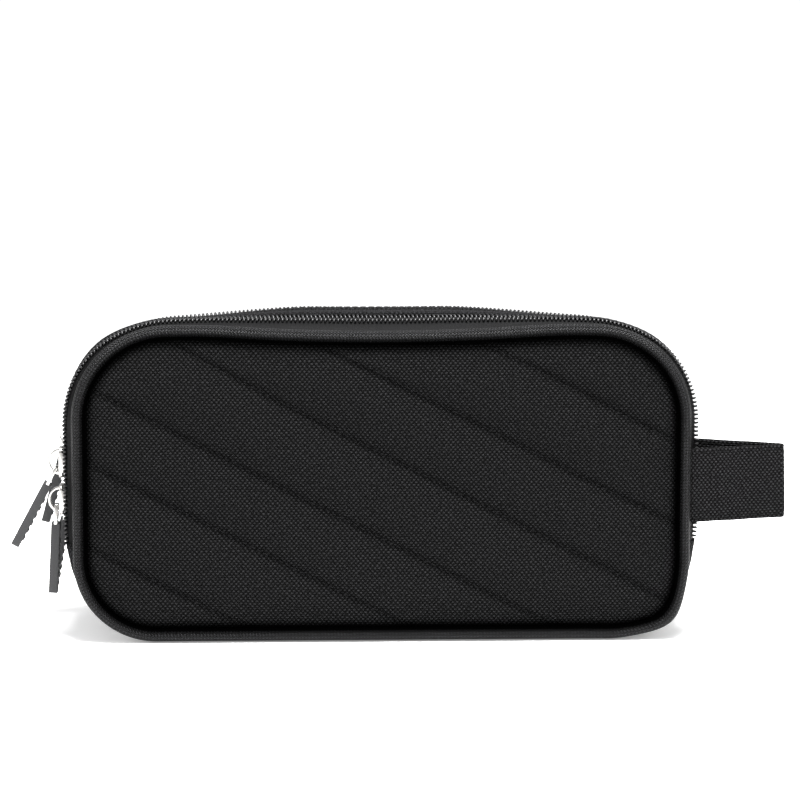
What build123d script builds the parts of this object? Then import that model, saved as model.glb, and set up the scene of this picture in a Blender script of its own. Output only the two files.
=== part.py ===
"""Two-compartment cable organizer pouch, in millimetres.

+X is the pouch's right, -Y its front and +Z up. The origin is on the bottom, midway between the ends and between
the two big panels. Each compartment is a padded panel, a corded piping, a zipped gusset and a lining, built once
at the front and mirrored for the back. Each panel folds outwards at the fold line, above the parked sliders.
"""

import os
from math import atan2, cos, degrees, radians, sin

from build123d import *

# Body, as the outer face of the gusset
half_width = 112.2
height = 114.6
top_radius = 38.0
bottom_radius = 32.0

# Cloth thicknesses
shell_cloth = 1.2
lining_cloth = 0.5
tape_cloth = 0.8
pocket_cloth = 0.7
webbing = 1.8

# Depths of the panel's layers, from the middle seam towards the front
panel_face = 37.6
shell_back = 36.4
foam_back = 33.4
lining_back = 32.8

# Gusset: straight to the taper, then drawn in to the panel's seam
taper_start = 25.0
seam_depth = 32.5
taper_inset = 3.0
middle_seam = 1.0

# Piping: a round cord in a bias strip
piping_radius = 2.4
piping_depth = 35.1
piping_half_width = 106.0
piping_bottom = 2.8
piping_top = 109.0
piping_top_radius = 30.0
piping_bottom_radius = 27.0
panel_inset = piping_radius + 0.1

# Zips: a coil on each compartment, ending above the bottom corners
zip_depth = 21.5
chain_half_width = 3.1
coil_slit = 1.6
coil_height = 2.2
zip_end = 34.4
stop_height = 1.2
strip_edge = 13.0
tape_edge = 9.0

# Linings of the gusset
lining_start = 1.5
lining_stop = 17.0
bottom_lining_stop = 24.5

# Divider between the compartments
board_half = 0.8

# Fold line of the panels
fold_height = 74.0
fold_gap = 0.3

# Sliders: centre heights where they are parked, at the left end of both zips
slider_heights = {
    "front_upper": 62.8,
    "front_lower": 49.4,
    "back_upper": 67.2,
    "back_lower": 44.2,
}
slider_length = 10.8
slider_width = 8.0
slider_clearance = 0.3
slider_corner = 2.0
outer_plate = 1.3
inner_plate = 1.2
flange_width = 0.6
flange_reach = 1.2
post_width = 0.9
post_length = 4.0
crown_width = 2.2
crown_height = 4.2
crown_length = 9.0
crown_wire = 0.9

# Pulls: a stamped link moulded into a soft tab, hanging at these tilts from the vertical
pull_tilts = {
    "front_upper": 28.5,
    "front_lower": 3.0,
    "back_upper": 15.0,
    "back_lower": 10.0,
}
pivot_drop = 2.2
pivot_rise = 1.1
link_thickness = 1.2
link_width = 5.6
link_hole_width = 3.6
link_hole_end = 4.6
tab_start = 6.0
tab_length = 25.4
tab_width = 6.0
tab_thickness = 3.0
tab_grip = 3.0
rib_count = 6
rib_pitch = 3.0
rib_width = 1.2
rib_height = 0.4

# Wrist strap: a loop sewn into both panel seams on the right, folded flat at its tip
strap_width = 26.5
strap_height = 54.9
strap_root = 109.9
strap_root_depth = 33.6
strap_tip = 146.5
strap_tip_depth = 22.0
strap_tip_radius = 1.5
strap_side = 113.3
strap_side_front = 5.0
strap_side_back = 26.0
strap_side_radius = 6.0
strap_pivot = 110.0
strap_split = 16.5
strap_gap = 0.3

# Pockets: cells that stand off their wall, as (left edge, right edge)
pocket_slope = 5.0
front_pocket_bulge = 8.0
front_pocket_low = 11.0
front_pocket_high = 62.0
front_pockets = {
    "front_pocket_left": [(-90.0, -1.0)],
    "front_pocket_right": [(1.0, 90.0)],
}
slip_pocket_bulge = 7.0
slip_pocket_low = 11.0
slip_pocket_high = 66.0
slip_pocket_cells = [(-90.0, -1.0), (1.0, 90.0)]
band_bulge = 9.0
band_low = 32.0
band_high = 68.0
band_cells = [(-78.0, -28.0), (-24.0, 24.0), (28.0, 78.0)]

slab = 400.0  # longer than the pouch, for trimming


def rounded_outline(depth, half, low, high, low_radius, high_radius):
    """A rounded rectangle at a depth, with its own corner radii below and above."""
    with BuildSketch(Plane.XZ.offset(depth)) as outline:
        with BuildLine():
            FilletPolyline(
                (-half, low),
                (half, low),
                (half, high),
                (-half, high),
                close=True,
                radius=[low_radius, low_radius, high_radius, high_radius],
            )
        make_face()
    return outline.sketch.face()


def body_outline(depth, inset):
    """The body's outline, drawn in from the gusset's outer face."""
    return rounded_outline(
        depth, half_width - inset, inset, height - inset, bottom_radius - inset, top_radius - inset
    )


def panel_layer(near, far):
    """One flat layer of a big panel, between two depths and just inside the piping."""
    outline = rounded_outline(
        far,
        piping_half_width - panel_inset,
        piping_bottom + panel_inset,
        piping_top - panel_inset,
        piping_bottom_radius - panel_inset,
        piping_top_radius - panel_inset,
    )
    with BuildPart() as layer:
        extrude(outline, amount=near - far)
    return layer


def piping():
    """The corded piping round a big panel."""
    with BuildPart() as cord:
        with BuildLine(Plane.XZ.offset(piping_depth)) as route:
            FilletPolyline(
                (-piping_half_width, piping_bottom),
                (piping_half_width, piping_bottom),
                (piping_half_width, piping_top),
                (-piping_half_width, piping_top),
                close=True,
                radius=[piping_bottom_radius] * 2 + [piping_top_radius] * 2,
            )
        with BuildSketch(Plane(origin=route.line @ 0, z_dir=route.line % 0)):
            Circle(piping_radius)
        sweep()
    return cord


def band(near, far, outer, inner):
    """A strip that follows the body's outline, between two depths and two insets."""
    with BuildPart() as strip:
        extrude(body_outline(far, outer), amount=near - far)
        extrude(body_outline(far, inner), amount=near - far, mode=Mode.SUBTRACT)
    return strip


def drawn_in_band(far, outer, inner):
    """A strip like a band, that is drawn in beyond the taper's start to reach the panel's seam."""
    run = seam_depth - taper_start
    draft = degrees(atan2(taper_inset, run))
    with BuildPart() as strip:
        add(band(taper_start, far, outer, inner).part)
        extrude(body_outline(taper_start, outer), amount=run, taper=draft)
        extrude(body_outline(taper_start, inner), amount=run, taper=draft, mode=Mode.SUBTRACT)
    return strip


def above(piece, level):
    """What a piece has above a level."""
    with BuildPart() as upper:
        add(piece.part)
        split(bisect_by=Plane.XY.offset(level), keep=Keep.TOP)
    return upper


def below(piece, level):
    """What a piece has below a level."""
    with BuildPart() as lower:
        add(piece.part)
        split(bisect_by=Plane.XY.offset(level), keep=Keep.BOTTOM)
    return lower


def gusset_lining():
    """The thin lining inside a gusset, deeper where the zip doesn't run."""
    outer = shell_cloth + tape_cloth
    inner = outer + lining_cloth
    with BuildPart() as lining:
        add(band(lining_stop, lining_start, outer, inner).part)
        add(below(band(bottom_lining_stop, lining_stop, outer, inner), zip_end).part)
    return lining


def zip_stops():
    """The stops clamped on the chain at both ends of a zip."""
    with BuildPart() as stops:
        with BuildSketch(Plane.XY.offset(zip_end)):
            with Locations((half_width - coil_height / 2, -zip_depth), (coil_height / 2 - half_width, -zip_depth)):
                Rectangle(coil_height, 2 * chain_half_width)
        extrude(amount=stop_height)
    return stops


def slider(center):
    """A cast slider: two plates, a post between them, flanges over the tapes and an arched crown."""
    outer_face = half_width + slider_clearance + outer_plate
    inner_face = half_width - coil_height - slider_clearance
    low = center - slider_length / 2
    with BuildPart() as body:
        with BuildSketch(Plane.YZ.offset(-outer_face)):
            with Locations((-zip_depth, center)):
                RectangleRounded(slider_width, slider_length, slider_corner)
        extrude(amount=outer_plate)
        with BuildSketch(Plane.YZ.offset(-inner_face)):
            with Locations((-zip_depth, center)):
                RectangleRounded(slider_width, slider_length, slider_corner)
        extrude(amount=inner_plate)
        with BuildSketch(Plane.XY.offset(low + slider_length - post_length)):
            with Locations((-(outer_face - outer_plate + inner_face) / 2, -zip_depth)):
                Rectangle(coil_height + 2 * slider_clearance, post_width)
        extrude(amount=post_length)
        with BuildSketch(Plane.XY.offset(low + slider_corner)):
            for side in (-1, 1):
                edge = -zip_depth + side * (slider_width - flange_width) / 2
                with Locations((-(outer_face - outer_plate - flange_reach / 2), edge)):
                    Rectangle(flange_reach, flange_width)
        extrude(amount=slider_length - 2 * slider_corner)
        with BuildSketch(Plane.XZ.offset(zip_depth)):
            with Locations((-outer_face, center)):
                Ellipse(crown_height, crown_length / 2)
                Ellipse(crown_height - crown_wire, crown_length / 2 - crown_wire, mode=Mode.SUBTRACT)
            with Locations((-outer_face + outer_plate / 2, center)):
                Rectangle(outer_plate, crown_length, align=(Align.MIN, Align.CENTER), mode=Mode.SUBTRACT)
                Rectangle(slab, slab, align=(Align.MIN, Align.CENTER), mode=Mode.SUBTRACT)
        extrude(amount=crown_width / 2, both=True)
    return body


def pull_plane(center, tilt):
    """A plane on a pull's middle, from its pivot: X across the pull, Y down it and Z away from the pouch."""
    reach = half_width + slider_clearance + outer_plate + pivot_rise
    lean = radians(tilt)
    return Plane(
        origin=(-reach, -zip_depth, center - pivot_drop),
        x_dir=(0, 1, 0),
        z_dir=(-cos(lean), 0, sin(lean)),
    )


def pull_link(plane):
    """The stamped link that hangs on the crown."""
    bar = link_thickness / 2
    with BuildPart() as link:
        with BuildSketch(plane):
            with Locations((0, -bar)):
                Rectangle(link_width, bar + tab_start + tab_grip, align=(Align.CENTER, Align.MIN))
            with Locations((0, bar)):
                Rectangle(link_hole_width, link_hole_end - bar, align=(Align.CENTER, Align.MIN), mode=Mode.SUBTRACT)
        extrude(amount=bar, both=True)
    return link


def pull_tab(plane, link):
    """The moulded tab round the link's tail, with grip ribs on the side that faces the pouch."""
    with BuildPart() as tab:
        with BuildSketch(plane):
            with Locations((0, tab_start + tab_length / 2)):
                RectangleRounded(tab_width, tab_length, tab_width / 5)
        extrude(amount=tab_thickness / 2, both=True)
        with BuildSketch(plane.offset(-tab_thickness / 2)):
            with Locations((0, tab_start + tab_length / 2 + rib_pitch / 2)):
                with GridLocations(0, rib_pitch, 1, rib_count):
                    Rectangle(tab_width - 2 * rib_width, rib_width)
        extrude(amount=-rib_height)
        add(link.part, mode=Mode.SUBTRACT)
    return tab


def strap():
    """The strap's loop, on edge: out from the front seam to its tip, back to the gusset and on to the back seam."""
    with BuildPart() as loop:
        with BuildSketch(Plane.XY.offset(strap_height - strap_width / 2)):
            with BuildLine():
                FilletPolyline(
                    (strap_root, -strap_root_depth),
                    (strap_tip, -strap_tip_depth),
                    (strap_side, -strap_side_front),
                    (strap_side, strap_side_back),
                    (strap_root, strap_root_depth),
                    radius=[strap_tip_radius, strap_side_radius, strap_side_radius],
                )
            trace(line_width=webbing)
        extrude(amount=strap_width)
    return loop


def strap_piece(radius, mode):
    """The loop inside or outside a drum round the line that it swings about."""
    with BuildPart() as piece:
        add(strap().part)
        with BuildSketch(Plane.XZ.offset(-slab / 2)):
            with Locations((strap_pivot, strap_height)):
                Circle(radius)
        extrude(amount=slab, mode=mode)
    return piece


def cell_route(cell, wall, bulge):
    """The line of one cell's cloth seen from above: off the wall, along and back to it."""
    left, right = cell
    return [
        (left, -wall),
        (left + pocket_slope, -wall + bulge),
        (right - pocket_slope, -wall + bulge),
        (right, -wall),
    ]


def pocket(cells, wall, bulge, low, high, floored):
    """Cells of cloth that stand off a wall, open above, and open below unless they have a floor."""
    routes = [cell_route(cell, wall, bulge) for cell in cells]
    with BuildPart() as cloth:
        with BuildSketch(Plane.XY.offset(low)):
            with BuildLine():
                Polyline(*[point for route in routes for point in route])
            trace(line_width=pocket_cloth)
        extrude(amount=high - low)
        if floored:
            with BuildSketch(Plane.XY.offset(low)):
                for route in routes:
                    with BuildLine():
                        Polyline(*route, close=True)
                    make_face()
            extrude(amount=pocket_cloth)
    return cloth


def write(piece, name):
    """Labels a piece and writes it."""
    piece.part.label = name
    export_step(piece.part, f"parts/{name}.step")


def write_pair(piece, name):
    """Writes a piece of the front compartment and its mirror image at the back."""
    write(piece, f"front_{name}")
    with BuildPart() as twin:
        add(piece.part)
        mirror(about=Plane.XZ, mode=Mode.REPLACE)
    write(twin, f"back_{name}")


os.makedirs("parts", exist_ok=True)

tape_outer = shell_cloth
tape_inner = shell_cloth + tape_cloth
chain_edge = zip_depth + chain_half_width
slit_edge = zip_depth + coil_slit / 2
fold_low = fold_height - fold_gap
fold_high = fold_height + fold_gap

# Pieces that the fold line divides
folded = {
    "panel": panel_layer(panel_face, shell_back),
    "foam": panel_layer(shell_back, foam_back),
    "lining": panel_layer(foam_back, lining_back),
    "piping": piping(),
    "zip_tape": above(drawn_in_band(chain_edge, tape_outer, tape_inner), zip_end),
    "zip_coil": above(band(chain_edge, slit_edge, 0, coil_height), zip_end + stop_height),
}
for name, piece in folded.items():
    write_pair(below(piece, fold_low), f"{name}_lower")
    write_pair(above(piece, fold_high), f"{name}_upper")

# Fixed half of each gusset
fixed_chain_edge = zip_depth - chain_half_width
fixed_slit_edge = zip_depth - coil_slit / 2
write_pair(above(band(fixed_slit_edge, fixed_chain_edge, 0, coil_height), zip_end + stop_height), "zip_coil_fixed")
write_pair(above(band(fixed_chain_edge, tape_edge, tape_outer, tape_inner), zip_end), "zip_tape_fixed")
write_pair(above(band(strip_edge, middle_seam, 0, shell_cloth), zip_end), "gusset_strip")
write_pair(below(drawn_in_band(middle_seam, 0, shell_cloth), zip_end), "gusset_bottom")
write_pair(gusset_lining(), "gusset_lining")
write_pair(zip_stops(), "zip_stops")

# Divider and the seam that holds it
divider_edge = tape_inner + lining_cloth
write(band(middle_seam, -middle_seam, 0, divider_edge), "middle_binding")
with BuildPart() as divider_board:
    extrude(body_outline(0, divider_edge), amount=board_half, both=True)
write(divider_board, "divider_board")
with BuildPart() as divider_lining:
    extrude(body_outline(board_half, divider_edge), amount=lining_cloth)
write_pair(divider_lining, "divider_lining")

# Pockets
half_cloth = pocket_cloth / 2
for name, cells in front_pockets.items():
    wall = lining_back - half_cloth
    write(pocket(cells, wall, front_pocket_bulge, front_pocket_low, front_pocket_high, True), name)
with BuildPart() as back_slip_pocket:
    wall = lining_back - half_cloth
    add(pocket(slip_pocket_cells, wall, slip_pocket_bulge, slip_pocket_low, slip_pocket_high, True).part)
    mirror(about=Plane.XZ, mode=Mode.REPLACE)
write(back_slip_pocket, "back_slip_pocket")
elastic_wall = board_half + lining_cloth + half_cloth
write(pocket(band_cells, elastic_wall, -band_bulge, band_low, band_high, False), "elastic_loops")

# Wrist strap
write(strap_piece(strap_split, Mode.INTERSECT), "strap_ends")
write(strap_piece(strap_split + strap_gap, Mode.SUBTRACT), "wrist_strap")

# Sliders and pulls
for name, center in slider_heights.items():
    plane = pull_plane(center, pull_tilts[name])
    link = pull_link(plane)
    parts = {"slider": slider(center), "pull_link": link, "pull_tab": pull_tab(plane, link)}
    for kind, piece in parts.items():
        if name.startswith("back"):
            with BuildPart() as twin:
                add(piece.part)
                mirror(about=Plane.XZ, mode=Mode.REPLACE)
            piece = twin
        write(piece, f"{name}_{kind}")
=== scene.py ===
from math import ceil, copysign, cos, exp, hypot, pi, radians, sin, tan

import bmesh
import bpy
import numpy as np
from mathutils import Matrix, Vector
from mathutils.bvhtree import BVHTree


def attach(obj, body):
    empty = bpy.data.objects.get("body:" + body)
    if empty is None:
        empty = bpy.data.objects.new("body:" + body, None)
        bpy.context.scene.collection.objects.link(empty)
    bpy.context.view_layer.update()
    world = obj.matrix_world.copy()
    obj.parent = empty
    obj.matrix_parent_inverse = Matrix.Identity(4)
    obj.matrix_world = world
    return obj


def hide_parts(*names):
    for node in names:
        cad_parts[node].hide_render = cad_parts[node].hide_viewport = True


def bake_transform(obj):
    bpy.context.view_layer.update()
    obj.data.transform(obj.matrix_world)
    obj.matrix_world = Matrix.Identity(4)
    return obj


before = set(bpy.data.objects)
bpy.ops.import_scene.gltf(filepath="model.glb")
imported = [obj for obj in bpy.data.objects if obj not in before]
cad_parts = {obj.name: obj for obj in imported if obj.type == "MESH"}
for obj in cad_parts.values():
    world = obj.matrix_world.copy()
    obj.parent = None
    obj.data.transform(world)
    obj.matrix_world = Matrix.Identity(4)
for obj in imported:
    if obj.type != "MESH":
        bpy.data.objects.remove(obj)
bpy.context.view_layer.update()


# Studio: a pale floor that runs into a pale surround, broad soft lamps, and a camera almost square to the
# pouch's front and a little above its top edge.
mm = 0.001
camera_turn = radians(-2.0)
camera_rise = radians(6.5)
camera_distance = 0.95
view_width = 0.2795
camera_target = Vector((0.0065, -0.0376, 0.0861))
scene = bpy.context.scene
scene.view_settings.view_transform = "Standard"


def linear(colour):
    """An sRGB hex colour as the linear RGBA that shaders take."""
    parts = [int(colour[i : i + 2], 16) / 255 for i in (1, 3, 5)]
    return (*[c / 12.92 if c <= 0.04045 else ((c + 0.055) / 1.055) ** 2.4 for c in parts], 1.0)


def add_node(tree, kind, inputs=None, **settings):
    """Adds a node, a shader node unless its kind says otherwise, with its settings and its inputs.
    An input is a value, the socket that feeds it, or a node, whose first output feeds it."""
    made = tree.nodes.new(kind if "Node" in kind else f"ShaderNode{kind}")
    for name, value in settings.items():
        setattr(made, name, value)
    for socket, value in (inputs or {}).items():
        if isinstance(value, bpy.types.Node):
            value = value.outputs[0]
        if isinstance(value, bpy.types.NodeSocket):
            tree.links.new(value, made.inputs[socket])
        else:
            made.inputs[socket].default_value = value
    return made


def new_material(name):
    """An empty node material and its tree."""
    material = bpy.data.materials.new(name)
    material.use_nodes = True
    material.node_tree.nodes.clear()
    return material, material.node_tree


def add_object(name, data):
    """A new object in the scene, at the origin."""
    made = bpy.data.objects.new(name, data)
    scene.collection.objects.link(made)
    return made


camera = add_object("camera", bpy.data.cameras.new("camera"))
scene.camera = camera
camera_level = cos(camera_rise)
camera_way = Vector((sin(camera_turn) * camera_level, -cos(camera_turn) * camera_level, sin(camera_rise)))
camera.location = camera_target + camera_way * camera_distance
camera.rotation_euler = (-camera_way).to_track_quat("-Z", "Y").to_euler()
camera.data.lens = camera.data.sensor_width * camera_distance / view_width

floor_reach = 6.0
floor_mesh = bpy.data.meshes.new("floor")
floor_corners = [(x * floor_reach, y * floor_reach, 0) for x, y in ((-1, -1), (1, -1), (1, 1), (-1, 1))]
floor_mesh.from_pydata(floor_corners, [], [(0, 1, 2, 3)])
floor_board = add_object("floor", floor_mesh)
painted_board, tree = new_material("painted_board")
paint = add_node(tree, "BsdfPrincipled", {
    "Base Color": linear("#F6F6F6"), "Roughness": 0.9, "Specular IOR Level": 0.1,
    "Emission Color": linear("#FFFFFF"), "Emission Strength": 0.27,
})
add_node(tree, "OutputMaterial", {"Surface": paint})
floor_mesh.materials.append(painted_board)

surround = bpy.data.worlds.new("surround")
surround.use_nodes = True
sky_way = add_node(surround.node_tree, "TexCoord")
sky_height = add_node(surround.node_tree, "SeparateXYZ", {0: sky_way.outputs["Generated"]})
sky_glow = add_node(surround.node_tree, "MapRange", {
    "Value": sky_height.outputs[2], "From Min": 0.06, "From Max": 0.2, "To Min": 1.05, "To Max": 0.3,
})
surround.node_tree.links.new(sky_glow.outputs[0], surround.node_tree.nodes["Background"].inputs["Strength"])
surround.node_tree.nodes["Background"].inputs["Color"].default_value = linear("#FFFFFF")
scene.world = surround
for lamp_name, place, size, watts in (
    ("overhead_softbox", (0.05, -0.12, 0.7), 0.35, 20.0),
    ("left_softbox", (-0.8, -0.5, 0.45), 0.4, 4.0),
    ("right_softbox", (0.8, -0.45, 0.5), 0.4, 3.0),
):
    softbox = bpy.data.lights.new(lamp_name, "AREA")
    softbox.shape, softbox.size, softbox.energy = "SQUARE", size, watts
    lamp = add_object(lamp_name, softbox)
    lamp.location = place
    lamp.rotation_euler = (camera_target - Vector(place)).to_track_quat("-Z", "Y").to_euler()
sky = bpy.data.lights.new("even_skylight", "SUN")
sky.energy, sky.angle = 1.6, radians(120)
add_object("even_skylight", sky)


# Padded panels: the front and back of the pouch, black coarse oxford over thin foam, quilted with slanting
# lines of stitching and sewn into the piping. Each is one piece.
panel_outline = (105.0, 3.8, 108.0, 26.0, 29.0)  # half width, bottom, top, lower radius, upper radius
panel_rim = 34.2
panel_back = 33.4
panel_flat = 37.0
panel_pitch = 2.0
panel_swell = 3.0
quilt_slope = 0.52
quilt_heights = (124.5, 95.2, 67.2, 37.1, 10.6, -19.2)  # where the lines cross the middle
quilt_groove = 0.55
quilt_groove_width = 1.5
sewn_edge, sewn_reach = 2.5, 2.2  # held by the piping's seam, and by each line of quilting
swell_frames = 20
rim_shade = (1.3, 4.8)  # the shade beside the piping is full at the first inset and gone at the second
quilt_shade, quilt_shade_width = 0.5, 0.9
sides = (("front", -1), ("back", 1))


def edge_distance(x, z, outline):
    """How far a point is outside a rounded outline, less than zero within, and the way out."""
    half, low, high, low_radius, high_radius = outline
    middle = (low + high) / 2
    radius = high_radius if z > middle else low_radius
    a, b = abs(x) - half + radius, abs(z - middle) - (high - low) / 2 + radius
    if a > 0 and b > 0:
        reach = hypot(a, b)
        return reach - radius, copysign(a / reach, x), copysign(b / reach, z - middle)
    if a > b:
        return a - radius, copysign(1, x), 0.0
    return b - radius, 0.0, copysign(1, z - middle)


def cloth_grid(outline, pitch):
    """A square mesh that fills an outline, its edge drawn onto the outline: points (x, z) and faces."""
    half, low, high = outline[:3]
    columns, rows = ceil(2 * half / pitch), ceil((high - low) / pitch)
    points, number = [], {}
    for row in range(rows + 1):
        for column in range(columns + 1):
            x = -half + 2 * half * column / columns
            z = low + (high - low) * row / rows
            out, way_x, way_z = edge_distance(x, z, outline)
            if out < 0.6 * pitch:
                draw = out if out > -0.4 * pitch else 0.0
                number[column, row] = len(points)
                points.append((x - draw * way_x, z - draw * way_z))
    faces = []
    for row in range(rows):
        for column in range(columns):
            corners = [(column, row), (column + 1, row), (column + 1, row + 1), (column, row + 1)]
            kept = [number[c] for c in corners if c in number]
            if len(kept) > 2:
                faces.append(kept)
    return points, faces


def smooth_step(value, start, end):
    """0 before start, 1 after end and a smooth turn between them."""
    t = min(max((value - start) / (end - start), 0.0), 1.0)
    return t * t * (3 - 2 * t)


top_sag, sag_reach = 1.15, 42  # the middle of each top edge sags, and the shoulders beside it stand up
shoulder_place, shoulder_reach = 66, 22
slump_front, slump_back = 1.5, 3.2  # the top between the panels slumps, and more towards the back
foot_draw, foot_height = 2.4, 40  # the ends draw in towards the foot
corner_full, corner_place, corner_reach = 2.5452, 109, 15  # the lower right corner is stuffed fuller
end_lean = 0.8


def settle(point):
    """Where a point of the sewn body lies once the pouch stands: sagging above, drawn in at the foot."""
    x, y, z = point
    wide, deep = abs(x), abs(y)
    shoulder = exp(-(((wide - shoulder_place) / shoulder_reach) ** 2))
    sag = top_sag * (shoulder - exp(-((x / sag_reach) ** 2)))
    sag *= smooth_step(z, 60, 108) * smooth_step(deep, 10, 33)
    slump = smooth_step(wide, 22, 80) * (1 - smooth_step(wide, 84, 110)) * smooth_step(z, 70, 110)
    slump *= (1 - smooth_step(-y, 30, 35)) * (slump_front + slump_back * smooth_step(y, -24, 24))
    draw = foot_draw * smooth_step(foot_height - z, 0, 20)
    draw *= smooth_step(wide, 84, 106) * (1 - smooth_step(deep, 25, 32.5))
    full = corner_full * exp(-(((x + z - corner_place) / corner_reach) ** 2)) * smooth_step(x - z, 55, 90)
    lean = end_lean * smooth_step(x, 60, 104)
    return x - copysign(draw, x) + full + lean, y, max(z + sag - slump - full, 0.0)


def new_piece(name, points, faces, material, uvs=None, closed=True):
    """A piece from points in mm, with UVs in mm for each face's corners, faced outwards, shaded smooth."""
    mesh = bpy.data.meshes.new(name)
    mesh.from_pydata([tuple(c * mm for c in p) for p in points], [], faces)
    if uvs:
        layer = mesh.uv_layers.new(name="cloth")
        layer.data.foreach_set("uv", [c for face in uvs for corner in face for c in corner])
    if closed:
        work = bmesh.new()
        work.from_mesh(mesh)
        bmesh.ops.recalc_face_normals(work, faces=work.faces)
        work.to_mesh(mesh)
        work.free()
    mesh.shade_smooth()
    mesh.materials.append(material)
    return add_object(name, mesh)


def closed_layers(cells, count):
    """The faces of a flat grid, of its copy behind (count points on) and of the rim between them."""
    rim = {}
    for cell in cells:
        for a, b in zip(cell, cell[1:] + cell[:1]):
            if (b, a) in rim:
                del rim[b, a]
            else:
                rim[a, b] = True
    behind = [tuple(count + i for i in reversed(cell)) for cell in cells]
    return cells + behind + [(b, a, count + a, count + b) for a, b in rim]


def bend_at_fold(piece):
    """Bakes a piece's placing into its own mesh."""
    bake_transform(piece)


def bake_modifiers(piece):
    """Turns what a piece's modifiers make into its own plain mesh."""
    bpy.context.view_layer.update()
    made = bpy.data.meshes.new_from_object(piece.evaluated_get(bpy.context.evaluated_depsgraph_get()))
    piece.modifiers.clear()
    piece.data = made
    return piece


weave_pitch = (0.81, 0.89)  # warp and weft spacing, mm


def weave_height(tree, coordinate, pitch):
    """A plain weave from a coordinate in mm: its height, and how far its weft crowns stand out."""
    count_up = (1 / pitch[0], 1 / pitch[1], 1)
    scaled = add_node(tree, "VectorMath", {0: coordinate, 1: count_up}, operation="MULTIPLY")
    apart = add_node(tree, "SeparateXYZ", {0: scaled})
    threads = []
    for across, along, lift in ((0, 1, 0.5), (1, 0, -0.5)):
        count = add_node(tree, "Math", {0: apart.outputs[across]}, operation="FLOOR")
        place = add_node(tree, "Math", {0: apart.outputs[along], 1: count}, operation="ADD")
        turn = add_node(tree, "Math", {0: place, 1: pi}, operation="MULTIPLY")
        wave = add_node(tree, "Math", {0: turn}, operation="SINE")
        crest = add_node(tree, "Math", {0: wave, 1: lift, 2: 0.5}, operation="MULTIPLY_ADD")
        width = add_node(tree, "Math", {0: apart.outputs[across], 1: pi}, operation="MULTIPLY")
        arc = add_node(tree, "Math", {0: width}, operation="SINE")
        yarn = add_node(tree, "Math", {0: arc}, operation="ABSOLUTE")
        threads.append(add_node(tree, "Math", {0: yarn, 1: crest}, operation="MULTIPLY"))
    top = add_node(tree, "Math", {0: threads[0], 1: threads[1]}, operation="MAXIMUM")
    return top.outputs[0], threads[1].outputs[0]


def cloth_coordinate(tree, flat):
    """Millimetres on the cloth: x and z for a flat panel, or the piece's own UV map."""
    if not flat:
        return add_node(tree, "UVMap", uv_map="cloth").outputs[0]
    place = add_node(tree, "TexCoord")
    apart = add_node(tree, "SeparateXYZ", {0: place.outputs["Object"]})
    turned = add_node(tree, "CombineXYZ", {0: apart, 1: apart.outputs[2]})
    scaled = add_node(tree, "VectorMath", {0: turned, 1: (1 / mm,) * 3}, operation="MULTIPLY")
    return scaled.outputs[0]


def woven(name, dark, light, pitch, relief, flat=False, roughness=0.8, turn=0.0, gloss=0.05):
    """A plain woven cloth: lighter weft crowns on darker gaps, uneven yarns, and painted shade marked in its
    creases, where it turns near black and loses its gloss.
    """
    material, tree = new_material(name)
    coordinate = cloth_coordinate(tree, flat)
    if turn:
        coordinate = add_node(tree, "Mapping", {0: coordinate, "Rotation": (0, 0, turn)})
    uneven = add_node(tree, "TexNoise", {"Vector": coordinate, "Scale": 0.12, "Detail": 2.0})
    push = add_node(tree, "VectorMath", {0: uneven.outputs["Color"], 1: (pitch[0],) * 3, 2: coordinate},
                    operation="MULTIPLY_ADD")
    height, weft = weave_height(tree, push, pitch)
    yarn = add_node(tree, "TexNoise", {"Vector": coordinate, "Scale": 0.8 / pitch[0], "Detail": 1.0})
    lit = add_node(tree, "Math", {0: weft, 1: yarn}, operation="MULTIPLY")
    shade = add_node(tree, "MapRange", {"Value": lit, "From Min": 0.08, "From Max": 0.5})
    tint = add_node(tree, "Mix", {0: shade, 6: linear(dark), 7: linear(light)}, data_type="RGBA")
    # Painted shade: where a piece's marked shade is high, the cloth darkens to near black and its gloss is
    # taken away
    painted_crease_shade = add_node(tree, "Attribute", attribute_name="painted_crease_shade")
    depth = painted_crease_shade.outputs["Fac"]
    painted_shade_colour = add_node(tree, "Mix", {0: depth, 6: tint.outputs[2], 7: linear("#010101")}, data_type="RGBA")
    shine = add_node(tree, "MapRange", {"Value": depth, "To Min": gloss, "To Max": 0.0})
    bump = add_node(tree, "Bump", {"Height": height, "Strength": 1.0, "Distance": relief * mm})
    cloth = add_node(tree, "BsdfPrincipled", {
        "Base Color": painted_shade_colour.outputs[2], "Roughness": roughness, "Normal": bump,
        "Specular IOR Level": shine,
    })
    add_node(tree, "OutputMaterial", {"Surface": cloth})
    return material


def mark_painted_shade(piece, depths):
    """Stores how much painted shade each point of a piece takes, from 0 to 1, fullest in its creases."""
    piece.data.attributes.new("painted_crease_shade", "FLOAT", "POINT").data.foreach_set("value", depths)


# Solution-dyed polyester oxford in a plain weave: its weft crowns are staggered dots of light on near black
oxford_panel = woven("oxford_polyester_panel", "#020202", "#222223", weave_pitch, 0.35, flat=True)


def quilt_gap(x, z):
    """How far a point of the panel is from the nearest line of quilting."""
    offsets = [abs(z - level + quilt_slope * x) for level in quilt_heights]
    return min(offsets) / hypot(1, quilt_slope)


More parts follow.
